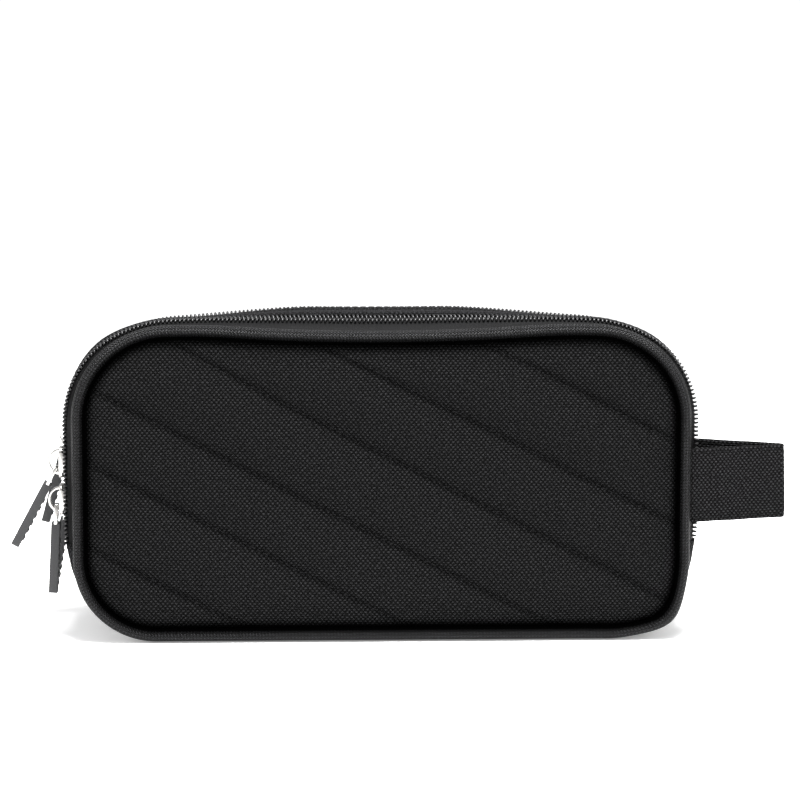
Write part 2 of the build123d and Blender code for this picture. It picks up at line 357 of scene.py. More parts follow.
grid_points, grid_faces = cloth_grid(panel_outline, panel_pitch)
rim_in = [-edge_distance(x, z, panel_outline)[0] for x, z in grid_points]
layer = len(grid_points)
pad_points = [
    (x, -(panel_rim + (panel_flat - panel_rim) * smooth_step(inset, 0.0, 7.0)), z)
    for (x, z), inset in zip(grid_points, rim_in)
] + [(x, -panel_back, z) for x, z in grid_points]
pad = new_piece("front_panel_pad", pad_points, closed_layers(grid_faces, layer), oxford_panel)
held = pad.vertex_groups.new(name="sewn")
for i, (x, z) in enumerate(grid_points):
    hold = 1.0 if rim_in[i] < sewn_edge else exp(-((quilt_gap(x, z) / sewn_reach) ** 2))
    held.add([i], hold, "REPLACE")
held.add(list(range(layer, 2 * layer)), 1.0, "REPLACE")
cloth = pad.modifiers.new("swell", "CLOTH")
cloth.settings.quality = 6
cloth.settings.mass = 0.005
cloth.settings.tension_stiffness = 8
cloth.settings.compression_stiffness = 8
cloth.settings.bending_stiffness = 1.5
cloth.settings.use_pressure = True
cloth.settings.uniform_pressure_force = 600.0
cloth.settings.vertex_group_mass = "sewn"
cloth.settings.pin_stiffness = 2.0
cloth.settings.effector_weights.gravity = 0.0
cloth.collision_settings.use_collision = False
start = np.array([v.co for v in pad.data.vertices])
for step in range(1, swell_frames + 1):
    scene.frame_set(step)
bake_modifiers(pad)
moved = np.array([v.co for v in pad.data.vertices]) - start
swell = np.abs(moved).max()
print("panel swelled by", round(float(swell / mm), 2), "mm")
moved *= panel_swell * mm / max(swell, panel_swell * mm)
pad.data.vertices.foreach_set("co", (start + moved).ravel())
scene.frame_set(1)
subdivision = pad.modifiers.new("finish", "SUBSURF")
subdivision.levels = subdivision.render_levels = 1
bake_modifiers(pad)
pad_corners = [tuple(c / mm for c in v.co) for v in pad.data.vertices]
pad_polygons = [tuple(p.vertices) for p in pad.data.polygons]
bpy.data.objects.remove(pad)


def groove(point):
    """A panel point, pressed in along the quilting."""
    x, y, z = point
    if y > -panel_rim:
        return point
    press = quilt_groove * exp(-((quilt_gap(x, z) / quilt_groove_width) ** 2))
    return x, y + press, z


panels = {}
for side, way in sides:
    points = [(x, -way * y, z) for x, y, z in (settle(groove(p)) for p in pad_corners)]
    panel = new_piece(f"{side}_panel_pad", points, pad_polygons, oxford_panel)
    panels[side] = panel
    # Painted shade on the panel: full beside the piping, fading inwards, and lighter along each line of
    # quilting
    painted_shades = []
    for x, y, z in pad_corners:
        inset = -edge_distance(x, z, panel_outline)[0]
        painted_quilt_shade = quilt_shade * exp(-((quilt_gap(x, z) / quilt_shade_width) ** 2))
        painted_shades.append(max(1.0 - smooth_step(inset, *rim_shade), painted_quilt_shade))
    mark_painted_shade(panel, painted_shades)
    layers = ("panel_lower", "panel_upper", "foam_lower", "foam_upper")
    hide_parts(*[f"{side}_{part}" for part in layers])
    bend_at_fold(panel)


# Corded piping: a round cord in a bias-cut strip of the same oxford, sewn into each panel's seam all the way
# round. The bias cut turns the weave to 45 degrees.
piping_outline = (106.0, 2.8, 109.0, 27.0, 30.0)
piping_depth = 35.1
piping_radius = 2.4
zip_end = 34.4
sweep_step = 1.5


def over(outline, level, step):
    """Stations up the right side from a level, over the top and down the left: x, z and the way out."""
    half, _, top, _, radius = outline
    corner_x, corner_z = half - radius, top - radius
    runs = (corner_z - level, radius * pi / 2, 2 * corner_x)
    rise, bend, flat = (max(1, round(run / step)) for run in runs)
    made = [(half, level + (corner_z - level) * i / rise, 1.0, 0.0) for i in range(rise)]
    for i in range(bend):
        angle = pi / 2 * i / bend
        made.append((corner_x + radius * cos(angle), corner_z + radius * sin(angle), cos(angle), sin(angle)))
    made += [(corner_x - 2 * corner_x * i / flat, top, 0.0, 1.0) for i in range(flat)]
    for i in range(bend):
        angle = pi / 2 * (1 + i / bend)
        made.append((radius * cos(angle) - corner_x, corner_z + radius * sin(angle), cos(angle), sin(angle)))
    made += [(-half, corner_z + (level - corner_z) * i / rise, -1.0, 0.0) for i in range(rise + 1)]
    return made


def under(outline, level, step):
    """Stations down the left side from a level, under the bottom and up the right."""
    half, low, top, low_radius, top_radius = outline
    turned = (half, -top, -low, top_radius, low_radius)
    return [(-x, -z, -out_x, -out_z) for x, z, out_x, out_z in over(turned, -level, step)]


def around(outline, level, step):
    """Stations all the way round an outline, from its right side."""
    return over(outline, level, step)[:-1] + under(outline, level, step)[:-1]


def sweep(name, stations, profile, way, material, loop=False):
    """A profile of (out, depth) points carried along stations, closed at its ends unless it is a loop."""
    count, ring = len(stations), len(profile)
    points, runs = [], [0.0]
    for i, (x, z, out_x, out_z) in enumerate(stations):
        points += [settle((x + out_x * out, way * depth, z + out_z * out)) for out, depth in profile]
        following = stations[(i + 1) % count]
        runs.append(runs[-1] + hypot(following[0] - x, following[1] - z))
    steps = [0.0]
    for i in range(ring):
        following = profile[(i + 1) % ring]
        steps.append(steps[-1] + hypot(following[0] - profile[i][0], following[1] - profile[i][1]))
    faces, uvs = [], []
    for i in range(count if loop else count - 1):
        j = (i + 1) % count
        for k in range(ring):
            m = (k + 1) % ring
            faces.append((i * ring + k, j * ring + k, j * ring + m, i * ring + m))
            uvs.append([(runs[a], steps[b]) for a, b in ((i, k), (i + 1, k), (i + 1, k + 1), (i, k + 1))])
    if not loop:
        for first in (0, (count - 1) * ring):
            faces.append(tuple(range(first, first + ring)))
            uvs.append([profile[k] for k in range(ring)])
    return new_piece(name, points, faces, material, uvs)


# Bias-cut oxford over cord: the same black yarns, a little glossier where they are stretched round the cord
bias_oxford = woven("bias_oxford_strip", "#010101", "#1F1F21", (0.81, 0.81), 0.3,
                    roughness=0.4, turn=pi / 4, gloss=0.12)
cord_sides = 16
cord_turns = [2 * pi * i / cord_sides for i in range(cord_sides)]
cord_profile = [(piping_radius * cos(a), piping_depth + piping_radius * sin(a)) for a in cord_turns]
# Painted shade round the cord: full on its inner side by the panel, strong on its side towards the zip tape,
# light elsewhere
cord_painted_shades = [min(1.0, max(0.0, 0.25 - 1.2 * cos(a), 0.2 - sin(a))) for a in cord_turns]  # deepest inwards
piping_line = around(piping_outline, zip_end, sweep_step)
for side, way in sides:
    piping = sweep(f"{side}_piping_cord", piping_line, cord_profile, way, bias_oxford, loop=True)
    mark_painted_shade(piping, cord_painted_shades * len(piping_line))
    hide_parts(f"{side}_piping_lower", f"{side}_piping_upper")
    bend_at_fold(piping)


# Zip tapes: herringbone polyester tape on each side of each zip. The outer one is sewn to the piping; the
# inner one runs under the gusset's strip.
body = (112.2, 0.0, 114.6, 32.0, 38.0)
zip_depth = 21.5
tape_out = -1.2
tape_thick = 0.8
tape_start = zip_end - 3.2


def cloth_profile(line, thickness):
    """The closed edge view of a cloth whose outer face follows a line of (out, depth) points."""
    middle = thickness / 2
    (first_out, first), (last_out, last) = line[0], line[-1]
    turn = copysign(0.3 * thickness, last - first)
    inner = [(out - thickness, depth) for out, depth in reversed(line)]
    return line + [(last_out - middle, last + turn)] + inner + [(first_out - middle, first - turn)]


def ribbed(name, dark, light, pitch, relief, zigzag=2.0, roughness=0.6, gloss=0.06):
    """Ribbed cloth, with slanting ribs that turn back every zigzag mm, or straight ones without a zigzag."""
    material, tree = new_material(name)
    coordinate = add_node(tree, "UVMap", uv_map="cloth")
    along = add_node(tree, "SeparateXYZ", {0: coordinate})
    if zigzag:
        back = add_node(tree, "Math", {0: along.outputs[1], 1: zigzag}, operation="PINGPONG")
        along = add_node(tree, "Math", {0: along, 1: back}, operation="ADD")
    turn = add_node(tree, "Math", {0: along, 1: 2 * pi / pitch}, operation="MULTIPLY")
    wave = add_node(tree, "Math", {0: turn}, operation="SINE")
    rib = add_node(tree, "MapRange", {"Value": wave, "From Min": -1.0, "From Max": 1.0})
    tint = add_node(tree, "Mix", {0: rib, 6: linear(dark), 7: linear(light)}, data_type="RGBA")
    bump = add_node(tree, "Bump", {"Height": rib, "Strength": 0.8, "Distance": relief * mm})
    cloth = add_node(tree, "BsdfPrincipled", {
        "Base Color": tint.outputs[2], "Roughness": roughness, "Normal": bump, "Specular IOR Level": gloss,
    })
    add_node(tree, "OutputMaterial", {"Surface": cloth})
    return material


# Herringbone polyester tape, flatter and smoother than the oxford
herringbone_tape = ribbed("herringbone_polyester_tape", "#030303", "#0A0A0B", 0.8, 0.12)
outer_tape_line = [
    (tape_out, 23.6), (tape_out, 25.6), (-1.5, 27.2), (-2.3, 29.0), (-3.3, 30.8), (-4.4, 32.4), (-5.4, 33.6),
]
inner_tape_line = [(tape_out, 19.4), (tape_out, 16.0), (tape_out, 12.0), (tape_out, 9.0)]
outer_tape_view = cloth_profile(outer_tape_line, tape_thick)
inner_tape_view = cloth_profile(inner_tape_line, tape_thick)
body_over = over(body, tape_start, sweep_step)
for side, way in sides:
    outer_tape = sweep(f"{side}_outer_zip_tape", body_over, outer_tape_view, way, herringbone_tape)
    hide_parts(f"{side}_zip_tape_lower", f"{side}_zip_tape_upper")
    bend_at_fold(outer_tape)
    inner_tape = sweep(f"{side}_inner_zip_tape", body_over, inner_tape_view, way, herringbone_tape)
    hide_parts(f"{side}_zip_tape_fixed")
    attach(inner_tape, "pouch")


# Zip coils: two rows of black nylon monofilament loops on each zip, at 1.5 mm pitch and half a pitch apart,
# so that each row's heads sit in the other's gaps. A row is a loop repeated along the zip's line.
coil_pitch = 1.5
wire_radius = 0.42
wire_sides = 6


def row_tree(name):
    """Repeats a piece along a path at a pitch, its X along the path and its Z along the path's way out."""
    tree = bpy.data.node_groups.new(name, "GeometryNodeTree")
    kinds = {"Path": "Geometry", "Pitch": "Float", "Part": "Object", "Finish": "Material"}
    for label, kind in kinds.items():
        tree.interface.new_socket(label, in_out="INPUT", socket_type=f"NodeSocket{kind}")
    tree.interface.new_socket("Row", in_out="OUTPUT", socket_type="NodeSocketGeometry")
    given = add_node(tree, "NodeGroupInput")
    line = add_node(tree, "GeometryNodeMeshToCurve", {"Mesh": given.outputs["Path"]})
    spaced = add_node(tree, "GeometryNodeResampleCurve", {"Curve": line})
    if "Mode" in spaced.inputs:
        spaced.inputs["Mode"].default_value = "Length"
    else:
        spaced.mode = "LENGTH"
    tree.links.new(given.outputs["Pitch"], spaced.inputs["Length"])
    along = add_node(tree, "GeometryNodeInputTangent")
    out = add_node(tree, "GeometryNodeInputNamedAttribute", {"Name": "out"}, data_type="FLOAT_VECTOR")
    turned = add_node(tree, "FunctionNodeAxesToRotation", primary_axis="X", secondary_axis="Z")
    tree.links.new(along.outputs[0], turned.inputs[0])
    tree.links.new(out.outputs[0], turned.inputs[1])
    part = add_node(tree, "GeometryNodeObjectInfo", {"Object": given.outputs["Part"]})
    copies = add_node(tree, "GeometryNodeInstanceOnPoints", {
        "Points": spaced, "Instance": part.outputs["Geometry"], "Rotation": turned,
    })
    real = add_node(tree, "GeometryNodeRealizeInstances", {0: copies})
    finished = add_node(tree, "GeometryNodeSetMaterial", {0: real, "Material": given.outputs["Finish"]})
    add_node(tree, "NodeGroupOutput", {0: finished})
    return tree


row_maker = row_tree("row_along_path")


def new_row(name, paths, part, pitch, material):
    """A row of parts along paths, each a list of (point in mm, way out), as one plain mesh."""
    mesh = bpy.data.meshes.new(name)
    points, edges, outs = [], [], []
    for path in paths:
        edges += [(len(points) + i, len(points) + i + 1) for i in range(len(path) - 1)]
        points += [tuple(c * mm for c in place) for place, _ in path]
        outs += [c for _, way_out in path for c in way_out]
    mesh.from_pydata(points, edges, [])
    mesh.attributes.new("out", "FLOAT_VECTOR", "POINT").data.foreach_set("vector", outs)
    row = add_object(name, mesh)
    maker = row.modifiers.new("row", "NODES")
    maker.node_group = row_maker
    values = {"Pitch": pitch * mm, "Part": part, "Finish": material}
    for item in row_maker.interface.items_tree:
        if item.item_type == "SOCKET" and item.in_out == "INPUT" and item.name in values:
            maker[item.identifier] = values[item.name]
    bake_modifiers(row)
    row.data.shade_smooth()
    row.data.materials.clear()
    row.data.materials.append(material)
    return row


def tube(points, radius, sides_round):
    """Points and faces of a closed tube along points in the YZ plane, with X across it."""
    rings, faces = [], []
    for i, (y, z, shift) in enumerate(points):
        before, after = points[max(i - 1, 0)], points[min(i + 1, len(points) - 1)]
        dy, dz = after[0] - before[0], after[1] - before[1]
        length = hypot(dy, dz)
        for k in range(sides_round):
            angle = 2 * pi * k / sides_round
            side_reach, up_reach = radius * cos(angle), radius * sin(angle)
            rings.append((shift + side_reach, y - up_reach * dz / length, z + up_reach * dy / length))
    for i in range(len(points) - 1):
        for k in range(sides_round):
            m = (k + 1) % sides_round
            near, far = i * sides_round, (i + 1) * sides_round
            faces.append((near + k, near + m, far + m, far + k))
    last = (len(points) - 1) * sides_round
    faces += [tuple(range(sides_round)), tuple(last + k for k in range(sides_round))]
    return rings, faces


# Nylon monofilament: smooth, dark and glossy, so each loop catches a small highlight
nylon_coil, tree = new_material("nylon_coil")
place = add_node(tree, "TexCoord")
scuff = add_node(tree, "TexNoise", {"Vector": place.outputs["Object"], "Scale": 900.0, "Detail": 2.0})
rough = add_node(tree, "MapRange", {"Value": scuff, "To Min": 0.25, "To Max": 0.45})
tint = add_node(tree, "Mix", {0: scuff, 6: linear("#0A0A0B"), 7: linear("#121213")}, data_type="RGBA")
nylon = add_node(tree, "BsdfPrincipled", {
    "Base Color": tint.outputs[2], "Roughness": rough, "IOR": 1.53, "Specular IOR Level": 0.35,
})
add_node(tree, "OutputMaterial", {"Surface": nylon})

loop_bends = [
    (0.0, -1.5, -0.2), (0.0, -0.55, -0.2), (0.45, -0.02, -0.12),
    (2.2, 0.08, 0.1), (2.95, -0.25, 0.18), (3.2, -0.95, 0.18),
]
coil_root = 24.3
for side, way in sides:
    for row_name, root, head_way in (("outer", coil_root, -1), ("inner", 2 * zip_depth - coil_root, 1)):
        bends = [(y * way * head_way, z - wire_radius, x) for y, z, x in loop_bends]
        rings, faces = tube(bends, wire_radius, wire_sides)
        loop = new_piece("coil_loop", rings, faces, nylon_coil)
        shift = 0.0 if row_name == "outer" else coil_pitch / 2
        stations = over(body, zip_end + 1.2 + shift, sweep_step)
        path = [(settle((x, way * root, z)), (out_x, 0, out_z)) for x, z, out_x, out_z in stations]
        coil = new_row(f"{side}_{row_name}_zip_coil", [path], loop, coil_pitch, nylon_coil)
        bpy.data.objects.remove(loop)
        if row_name == "outer":
            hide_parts(f"{side}_zip_coil_lower", f"{side}_zip_coil_upper")
            bend_at_fold(coil)
        else:
            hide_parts(f"{side}_zip_coil_fixed")
            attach(coil, "pouch")


# Gusset: a strip of oxford between each zip and the middle seam, and a deeper piece of it under the bottom.
# Edges are turned under and stitched down beside the fold.
oxford_strip = woven("oxford_polyester_strip", "#020202", "#2A2A2C", weave_pitch, 0.35)
shell_thick = 1.2
strip_line = [(0.0, 13.0), (0.25, 11.5), (0.5, 8.0), (0.55, 5.0), (0.3, 2.2), (-0.5, 0.9)]
bottom_line = [
    (-0.5, 0.9), (0.0, 2.0), (0.0, 8.0), (0.0, 16.0), (0.0, 24.0),
    (-0.4, 26.5), (-1.3, 29.0), (-2.5, 31.2), (-4.2, 33.4),
]
strip_view, bottom_view = cloth_profile(strip_line, shell_thick), cloth_profile(bottom_line, shell_thick)
strip_over, bottom_under = over(body, zip_end - 0.2, sweep_step), under(body, zip_end, sweep_step)
for side, way in sides:
    gusset_strip = sweep(f"{side}_zip_gusset", strip_over, strip_view, way, oxford_strip)
    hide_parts(f"{side}_gusset_strip")
    gusset_bottom = sweep(f"{side}_bottom_gusset", bottom_under, bottom_view, way, oxford_strip)
    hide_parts(f"{side}_gusset_bottom")
    for piece in (gusset_strip, gusset_bottom):
        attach(piece, "pouch")


# Middle binding: the folded seam that joins both gussets and the divider, seen outside as a narrow line sunk
# into the cloth on either side.
oxford_binding = woven("oxford_binding_tape", "#050505", "#242425", (0.6, 0.6), 0.2)
binding_profile = [(-0.25, -0.7), (0.0, -0.35), (0.0, 0.35), (-0.25, 0.7), (-2.4, 0.7), (-2.4, -0.7)]
middle_line = around(body, zip_end, 2.0)
middle = sweep("middle_seam_binding", middle_line, binding_profile, 1, oxford_binding, loop=True)
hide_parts("middle_binding")
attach(middle, "pouch")


# Sliders, links and stops: bright nickel-plated zinc, cast or stamped, with edges tumbled round. Each pull
# is a soft rubber tab moulded round the link's tail.
def tumbled(node, name, edge, material):
    """A copy of a hard CAD piece with its edges rounded, standing for it."""
    piece = add_object(name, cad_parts[node].data.copy())
    work = bmesh.new()
    work.from_mesh(piece.data)
    bmesh.ops.remove_doubles(work, verts=work.verts, dist=0.01 * mm)
    bmesh.ops.dissolve_limit(work, angle_limit=radians(1.0), verts=work.verts, edges=work.edges)
    work.to_mesh(piece.data)
    work.free()
    rounding = piece.modifiers.new("rounding", "BEVEL")
    rounding.width = edge * mm
    rounding.segments = 3
    rounding.limit_method = "ANGLE"
    rounding.angle_limit = radians(35)
    rounding.use_clamp_overlap = True
    bake_modifiers(piece)
    piece.data.materials.clear()
    piece.data.materials.append(material)
    piece.data.shade_smooth()
    piece.data.set_sharp_from_angle(angle=radians(50))
    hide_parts(node)
    return piece


# Bright nickel plate over a cast body: mirror-like, with the slight orange peel of plating
nickel_plate, tree = new_material("nickel_plate")
place = add_node(tree, "TexCoord")
peel = add_node(tree, "TexNoise", {"Vector": place.outputs["Object"], "Scale": 1400.0, "Detail": 3.0})
rough = add_node(tree, "MapRange", {"Value": peel, "To Min": 0.14, "To Max": 0.28})
bump = add_node(tree, "Bump", {"Height": peel, "Strength": 0.25, "Distance": 0.03 * mm})
plate = add_node(tree, "BsdfPrincipled", {
    "Base Color": linear("#C9C7C4"), "Metallic": 1.0, "Roughness": rough, "Normal": bump,
})
add_node(tree, "OutputMaterial", {"Surface": plate})

# Moulded thermoplastic rubber: matt dark grey with a fine spark-eroded grain
moulded_rubber, tree = new_material("moulded_rubber")
place = add_node(tree, "TexCoord")
grain = add_node(tree, "TexNoise", {"Vector": place.outputs["Object"], "Scale": 2200.0, "Detail": 2.0})
tint = add_node(tree, "Mix", {0: grain, 6: linear("#202021"), 7: linear("#353536")}, data_type="RGBA")
bump = add_node(tree, "Bump", {"Height": grain, "Strength": 0.5, "Distance": 0.05 * mm})
rubber = add_node(tree, "BsdfPrincipled", {
    "Base Color": tint.outputs[2], "Roughness": 0.6, "Normal": bump, "Specular IOR Level": 0.3,
})
add_node(tree, "OutputMaterial", {"Surface": rubber})

for side, _ in sides:
    for place_name in ("upper", "lower"):
        zip_name = f"{side}_{place_name}"
        for part, edge, material, slot_name, on in (
            ("slider", 0.28, nickel_plate, "slider_metal", "zip_slider"),
            ("pull_link", 0.3, nickel_plate, "slider_metal", "pull"),
            ("pull_tab", 0.45, moulded_rubber, "pull_rubber", "pull"),
        ):
            piece = tumbled(f"{zip_name}_{part}", f"{zip_name}_{part}_piece", edge, material)
            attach(piece, f"{zip_name}_{on}")
    stops = tumbled(f"{side}_zip_stops", f"{side}_zip_stop_pair", 0.25, nickel_plate)
    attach(stops, "pouch")


# Wrist strap: a doubled band of the oxford, stitched along both edges, looped and sewn into both panel seams
# on the right end.
strap_width = 26.5
strap_height = 54.9
strap_thick = 1.8
strap_route = [  # corners seen from above, and each one's radius
    (109.0, -34.0, 0.0), (146.5, -22.0, 1.6), (113.3, -5.0, 6.0), (113.3, 26.0, 6.0), (109.2, 34.2, 0.0),
]


def rounded_route(corners, step):
    """Points along a line of corners (x, y, radius) with rounded bends: x, y and the way to its left."""
    made = []
    for i, (x, y, radius) in enumerate(corners):
        if not radius:
            made.append((x, y))
            continue
        before, after = Vector(corners[i - 1][:2]), Vector(corners[i + 1][:2])
        here = Vector((x, y))
        a, b = (before - here).normalized(), (after - here).normalized()
        half_angle = a.angle(b) / 2
        reach = radius / tan(half_angle)
        centre = here + (a + b).normalized() * (radius / sin(half_angle))
        start, end = here + a * reach - centre, here + b * reach - centre
        bend = start.angle_signed(end)
        for k in range(9):
            turn = -bend * k / 8
            across = start.x * cos(turn) - start.y * sin(turn)
            made.append((centre.x + across, centre.y + start.x * sin(turn) + start.y * cos(turn)))
    points = []
    for (x0, y0), (x1, y1) in zip(made, made[1:]):
        count = max(1, round(hypot(x1 - x0, y1 - y0) / step))
        points += [(x0 + (x1 - x0) * i / count, y0 + (y1 - y0) * i / count) for i in range(count)]
    points.append(made[-1])
    stations = []
    for i, (x, y) in enumerate(points):
        x0, y0 = points[max(i - 1, 0)]
        x1, y1 = points[min(i + 1, len(points) - 1)]
        length = hypot(x1 - x0, y1 - y0)
        stations.append((x, y, (y0 - y1) / length, (x1 - x0) / length))
    return stations


strap_stations = rounded_route(strap_route, 1.2)
half_width, half_thick = strap_width / 2, strap_thick / 2
seam_up = 0.885  # the lines of stitching, as a share of the half width
strap_face = (  # shares of the half thickness and half width: rolled edges, and a dip along each seam
    (0.55, -0.99), (0.95, -0.95), (0.8, -seam_up), (1.0, -0.82), (1.04, 0.0),
    (1.0, 0.82), (0.8, seam_up), (0.95, 0.95), (0.55, 0.99),
)
strap_profile = [
    (face_sign * half_thick * thick, face_sign * up * half_width)
    for face_sign in (1, -1)
    for thick, up in strap_face
]


def ripple(x, up):
    """How far the strap's cloth wanders from flat, in mm."""
    return 0.25 * sin(x * 0.35 + up * 0.12) * smooth_step(x, 112, 118)


points, faces, uvs = [], [], []
ring = len(strap_profile)
run = 0.0
runs = []
for i, (x, y, way_x, way_y) in enumerate(strap_stations):
    if i:
        run += hypot(x - strap_stations[i - 1][0], y - strap_stations[i - 1][1])
    runs.append(run)
    for thick, up in strap_profile:
        shift = thick + ripple(x, up)
        points.append((x + way_x * shift, y + way_y * shift, strap_height + up))
for i in range(len(strap_stations) - 1):
    for k in range(ring):
        m = (k + 1) % ring
        faces.append((i * ring + k, (i + 1) * ring + k, (i + 1) * ring + m, i * ring + m))
        ups = [strap_profile[k][1], strap_profile[m][1]]
        uvs.append([(runs[i], ups[0]), (runs[i + 1], ups[0]), (runs[i + 1], ups[1]), (runs[i], ups[1])])
for first in (0, (len(strap_stations) - 1) * ring):
    faces.append(tuple(range(first, first + ring)))
    uvs.append([strap_profile[k] for k in range(ring)])
oxford_strap = woven("oxford_polyester_strap", "#030303", "#2B2B2C", weave_pitch, 0.35)
strap = new_piece("wrist_strap_loop", points, faces, oxford_strap, uvs)
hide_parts("strap_ends", "wrist_strap")
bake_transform(strap)


# Topstitching: black polyester thread, lockstitched about nine to the inch. Each stitch is a short bead of
# thread sunk a little into the cloth, repeated along its seam.
stitch_pitch = 2.8
stitch_size = (1.05, 0.26, 0.18)
strip_seams = ((11.6, 0.3), (2.7, 0.42))  # depth and the strip's height there, mm
quilt_thread_inset = 4.0

# Spun polyester thread: a soft shine, twisted too finely to see
polyester_thread, tree = new_material("polyester_thread")
place = add_node(tree, "TexCoord")
twist = add_node(tree, "TexNoise", {"Vector": place.outputs["Object"], "Scale": 3000.0, "Detail": 1.0})
tint = add_node(tree, "Mix", {0: twist, 6: linear("#050505"), 7: linear("#0E0E0F")}, data_type="RGBA")
thread = add_node(tree, "BsdfPrincipled", {
    "Base Color": tint.outputs[2], "Roughness": 0.6, "Specular IOR Level": 0.08,
})
add_node(tree, "OutputMaterial", {"Surface": thread})

stitch_mesh = bmesh.new()
bmesh.ops.create_uvsphere(stitch_mesh, u_segments=6, v_segments=4, radius=mm)
bmesh.ops.scale(stitch_mesh, vec=stitch_size, verts=stitch_mesh.verts)
stitch = add_object("stitch", bpy.data.meshes.new("stitch"))
stitch_mesh.to_mesh(stitch.data)
stitch_mesh.free()
stitch.data.materials.append(polyester_thread)


def seam(stations, out, depth, way):
    """A line of stitching at a place on a swept strip."""
    return [
        (settle((x + out_x * out, way * depth, z + out_z * out)), (out_x, 0, out_z))
        for x, z, out_x, out_z in stations
    ]


for side, way in sides:
    strip_stations = over(body, zip_end + 1, 1.0)
    bottom_stations = under(body, zip_end - 2, 1.0)
    paths = [seam(strip_stations, out, depth, way) for depth, out in strip_seams]
    paths.append(seam(bottom_stations, 0.02, 3.0, way))
    for end_sign in (-1, 1):
        end = end_sign * body[0]
        level = zip_end - 2.2
        paths.append([(settle((end, way * depth, level)), (end_sign, 0, 0)) for depth in range(4, 25)])
    gusset_thread = new_row(f"{side}_gusset_stitching", paths, stitch, stitch_pitch, polyester_thread)
    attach(gusset_thread, "pouch")

    panel = panels[side]
    surface = BVHTree.FromObject(panel, bpy.context.evaluated_depsgraph_get())
    paths = []
    for level in quilt_heights:
        path = []
        for step in range(-104, 105):
            height = level - quilt_slope * step
            if -edge_distance(step, height, panel_outline)[0] < quilt_thread_inset:
                continue
            outside = Vector((step * mm, way * 0.1, height * mm))
            hit, normal, _, _ = surface.ray_cast(outside, Vector((0, -way, 0)))
            if hit:
                path.append((tuple(c / mm for c in hit), tuple(normal)))
        if len(path) > 3:
            paths.append(path)
    quilt_thread = new_row(f"{side}_quilt_stitching", paths, stitch, stitch_pitch, polyester_thread)
    bend_at_fold(quilt_thread)

paths = []
for face_sign in (-1, 1):
    for up_sign in (-1, 1):
        up = up_sign * seam_up * half_width
        path = []
        for x, y, way_x, way_y in strap_stations[2:-2]:
            off = face_sign * half_thick * 0.84 + ripple(x, up)
            place = (x + way_x * off, y + way_y * off, strap_height + up)
            path.append((place, (face_sign * way_x, face_sign * way_y, 0)))
        paths.append(path)
strap_thread = new_row("strap_stitching", paths, stitch, stitch_pitch, polyester_thread)
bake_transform(strap_thread)


# Linings: thin grey nylon taffeta inside each compartment, sewn in with the piping and over the board that
# divides them. It lies a little loose, so it ripples.
lining_thick = 0.5
# Nylon taffeta: a fine plain weave with a soft shine, drawn at 0.5 mm so that it shows
taffeta = ("#5A5A5D", "#7E7E82", (0.5, 0.5), 0.05)
nylon_taffeta = woven("nylon_taffeta", *taffeta, flat=True, roughness=0.55, gloss=0.3)
taffeta_strip = woven("nylon_taffeta_strip", *taffeta, roughness=0.55, gloss=0.3)
# Stiff board between two linings: pale grey foamed polyethylene with a faint skin
foam_board = woven("polyethylene_foam_board", "#8A8A8A", "#A0A0A0", (1.6, 1.6), 0.02, True, 0.7)


def flat_layer(name, outline, near, far, way, material, wave=0.0):
    """A closed flat layer between two depths, with a slight ripple."""
    spots, cells = cloth_grid(outline, lining_pitch)
    points = []
    for depth in (far, near):
        for x, z in spots:
            inset = -edge_distance(x, z, outline)[0]
            ruck = sin(x * 0.11 + z * 0.05) * sin(z * 0.13 - x * 0.02) - 1
            lift = wave * smooth_step(inset, 1, 12) * ruck
            points.append(settle((x, way * (depth + lift), z)))
    return new_piece(name, points, closed_layers(cells, len(spots)), material)


lining_outline = (103.4, 5.4, 106.4, 24.4, 27.4)
divider_outline = (109.6, 2.6, 112.0, 29.4, 35.4)
gusset_lining_lines = {
    "upper": [(-2.0, 17.0), (-2.1, 12.0), (-2.15, 6.0), (-2.0, 1.6)],
    "lower": [(-1.9, 1.6), (-1.7, 8.0), (-1.7, 16.0), (-1.9, 24.3)],
}
lining_pitch = 4.0
for side, way in sides:
    panel_lining = flat_layer(f"{side}_panel_lining", lining_outline, 32.8, 33.3, way, nylon_taffeta, 0.35)
    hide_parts(f"{side}_lining_lower", f"{side}_lining_upper")
    bend_at_fold(panel_lining)
    divider_lining = flat_layer(f"{side}_divider_cloth", divider_outline, 0.85, 1.3, way, nylon_taffeta)
    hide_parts(f"{side}_divider_lining")
    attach(divider_lining, "pouch")
    for level, line, wide in (
        ("upper", over(body, zip_end, 2.5), 0.0155), ("lower", under(body, zip_end, 2.5), 0.023),
    ):
        view = cloth_profile(gusset_lining_lines[level], lining_thick)
        piece = sweep(f"{side}_{level}_gusset_lining", line, view, way, taffeta_strip)
        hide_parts(f"{side}_gusset_lining")
        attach(piece, "pouch")
divider_core = flat_layer("divider_core", divider_outline, -0.75, 0.75, 1, foam_board)
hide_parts("divider_board")
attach(divider_core, "pouch")


# Pockets: two of ribbed stretch cloth on the front wall, two of lining cloth on the back wall, each with a
# bound top edge that dips, and a band of woven elastic sewn to the divider in three loops.
pocket_cloth_thick = 0.7
binding_radius = 0.8
pocket_columns, pocket_rows = 36, 18
pocket_foot, pocket_dip = 11.0, 5.0
# Ribbed stretch knit: soft vertical ribs 1.4 mm apart
rib_knit = ribbed("ribbed_stretch_knit", "#3C3C3E", "#5E5E61", 1.4, 0.25, zigzag=0, roughness=0.8, gloss=0.5)
# Woven elastic, thick and slanted, and the grosgrain tape that binds the pockets' edges
woven_elastic = ribbed("woven_elastic", "#5C5C5F", "#8A8A8E", 1.2, 0.2)
bound_edge = woven("grosgrain_binding", "#2A2A2B", "#464648", (0.6, 0.6), 0.1, flat=True)


